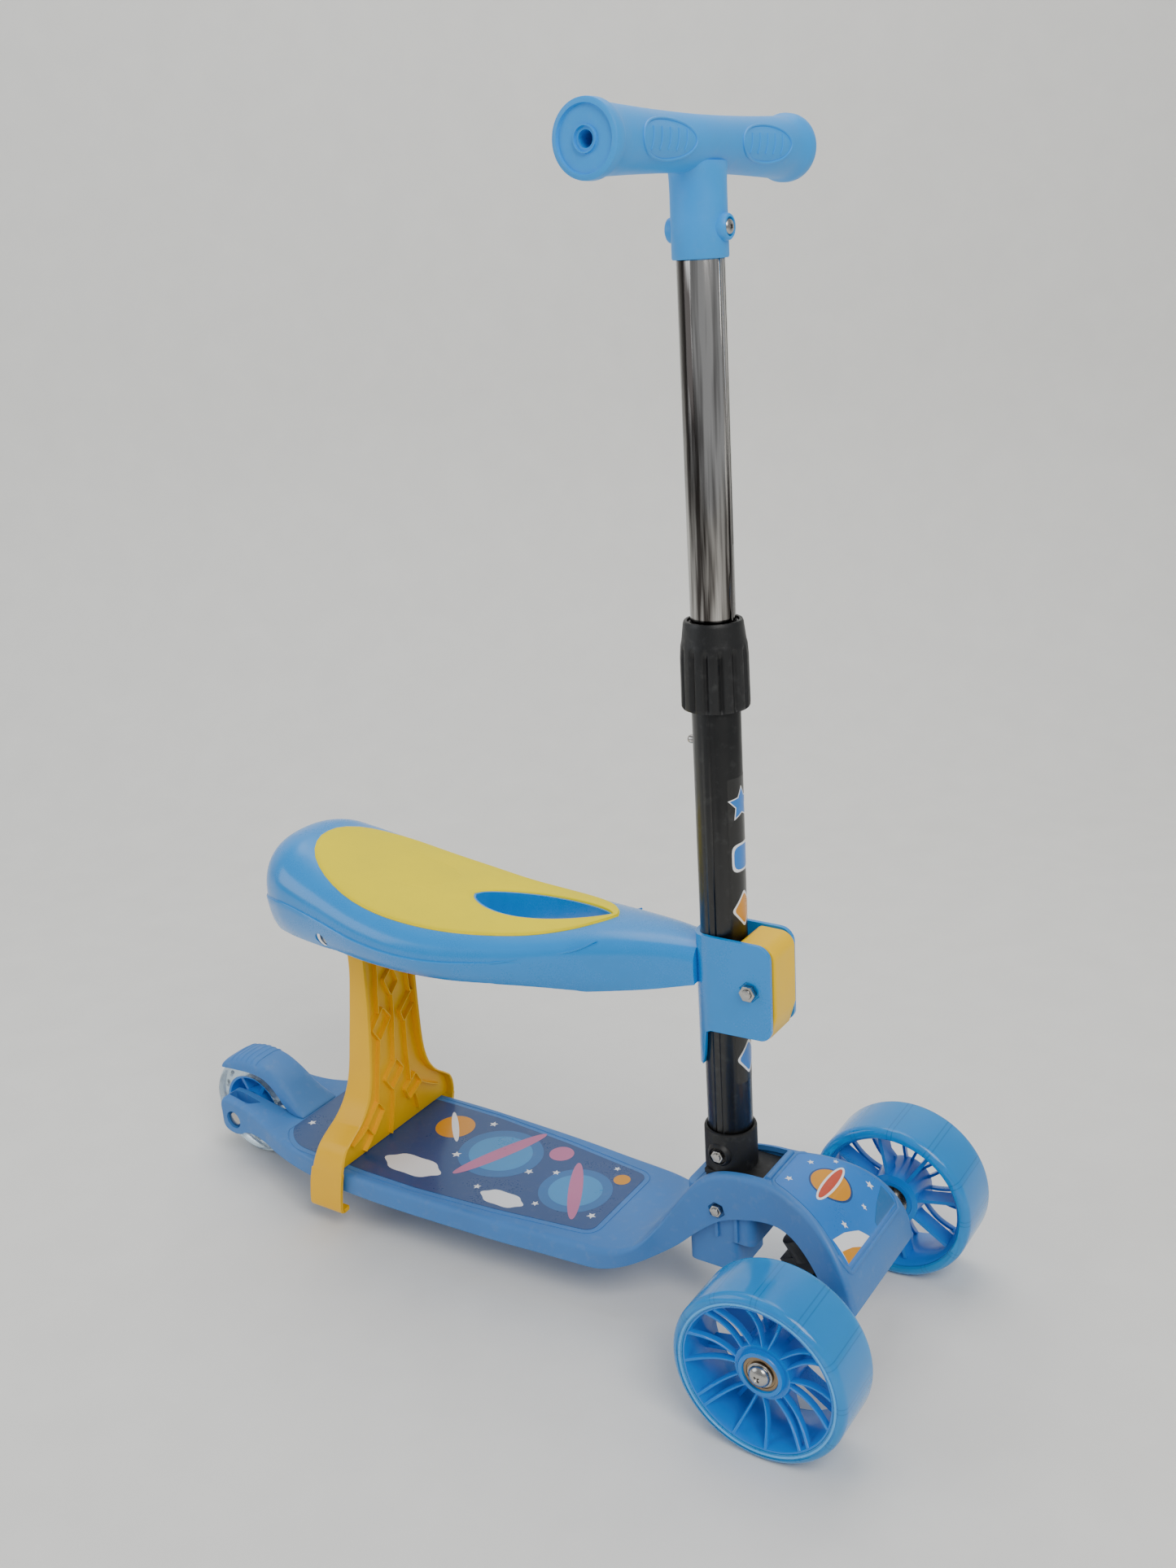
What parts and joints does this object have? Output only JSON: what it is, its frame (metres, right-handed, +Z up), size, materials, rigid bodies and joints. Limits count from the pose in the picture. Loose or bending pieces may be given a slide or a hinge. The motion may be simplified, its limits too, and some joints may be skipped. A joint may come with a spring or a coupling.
{
  "type": "child kick scooter with seat",
  "caption": "Child's kick scooter: wide front wheels on a leaning truck, small rear wheel under a flexing brake fender, telescoping T-bar and a clip-on saddle with a leg.",
  "frame": {"origin": "on the floor, at the middle of the length and of the width, with the grip raised and the seat fitted", "axes": "+X forward, +Y to the rider's left, +Z up"},
  "size_m": [0.593, 0.238, 0.7302],
  "materials": {
    "deck_blue": "matte",
    "sticker_navy": "satin",
    "steel": "satin",
    "wheel_blue": "gloss",
    "clear_tyre": "translucent",
    "blue_tyre": "translucent",
    "chrome": "polished",
    "black_plastic": "semi-matte",
    "bush_rubber": "matte",
    "black_paint": "satin",
    "grip_blue": "satin",
    "seat_blue": "satin",
    "pad_yellow": "matte",
    "leg_yellow": "satin"
  },
  "bodies": {
    "frame": {"deck": "deck_blue", "deck_sticker": "sticker_navy", "head_sticker": "sticker_navy", "rear_axle": "steel", "rear_axle_nut": "steel", "rear_spacers": "steel", "kingpin": "steel", "kingpin_nut": "steel", "steering_bush": "bush_rubber", "stem_base": "black_plastic", "socket_bolt": "steel", "socket_nut": "steel", "head_bolt": "steel", "head_nut": "steel", "lower_tube": "black_paint", "tube_decal": "sticker_navy", "collet_sleeve": "black_plastic", "seat_shell": "seat_blue", "seat_pad": "pad_yellow", "leg_screws": "steel", "clamp_bolt": "steel", "clamp_nut": "steel", "button_spring": "steel"},
    "truck": {"axle_carrier": "black_plastic", "right_axle_screw": "steel", "left_axle_screw": "steel", "right_washers": "steel", "left_washers": "steel", "right_spacer": "steel", "left_spacer": "steel"},
    "right_wheel": {"right_rim": "wheel_blue", "right_tyre": "blue_tyre", "right_bearings": "steel"},
    "left_wheel": {"left_rim": "wheel_blue", "left_tyre": "blue_tyre", "left_bearings": "steel"},
    "rear_wheel": {"rear_rim": "wheel_blue", "rear_tyre": "clear_tyre", "rear_beads": "chrome", "rear_bearings": "steel"},
    "fender": {"rear_fender": "deck_blue"},
    "bar": {"upper_tube": "chrome", "handlebar": "grip_blue", "handlebar_screw": "steel"},
    "collar": {"collar_nut": "black_plastic"},
    "button": {"spring_button": "chrome"},
    "leg": {"seat_leg": "leg_yellow"},
    "lever": {"clamp_lever": "leg_yellow"}
  },
  "joints": [
    {"name": "truck_lean", "type": "hinge", "parent": "frame", "child": "truck", "pos_m": [0.2175, 0, 0.076], "axis": [-0.5736, 0, 0.8192], "range_deg": [-8, 8], "stiffness_Nm_per_rad": 25},
    {"name": "right_wheel_spin", "type": "hinge", "parent": "truck", "child": "right_wheel", "pos_m": [0.2415, -0.0975, 0.055], "axis": [0, 1, 0], "continuous": true},
    {"name": "left_wheel_spin", "type": "hinge", "parent": "truck", "child": "left_wheel", "pos_m": [0.2415, 0.0975, 0.055], "axis": [0, 1, 0], "continuous": true},
    {"name": "rear_wheel_spin", "type": "hinge", "parent": "frame", "child": "rear_wheel", "pos_m": [-0.2565, 0, 0.04], "axis": [0, 1, 0], "continuous": true},
    {"name": "brake_press", "type": "hinge", "parent": "frame", "child": "fender", "pos_m": [-0.2065, 0, 0.0508], "axis": [0, -1, 0], "range_deg": [0, 2.2], "stiffness_Nm_per_rad": 40},
    {"name": "bar_height", "type": "slide", "parent": "frame", "child": "bar", "axis": [0, 0, 1], "range_m": [-0.065, 0]},
    {"name": "collar_twist", "type": "hinge", "parent": "frame", "child": "collar", "pos_m": [0.1665, 0, 0.4375], "axis": [0, 0, 1], "range_deg": [0, 150]},
    {"name": "button_press", "type": "slide", "parent": "frame", "child": "button", "axis": [1, 0, 0], "range_m": [0, 0.0045], "stiffness_N_per_m": 600, "deforming": ["button_spring"]},
    {"name": "leg_swing", "type": "hinge", "parent": "frame", "child": "leg", "pos_m": [-0.1145, 0, 0.232], "axis": [0, 1, 0], "range_deg": [0, 60]},
    {"name": "lever_flip", "type": "hinge", "parent": "frame", "child": "lever", "pos_m": [0.1915, 0, 0.242], "axis": [0, 1, 0], "range_deg": [0, 30]}
  ]
}
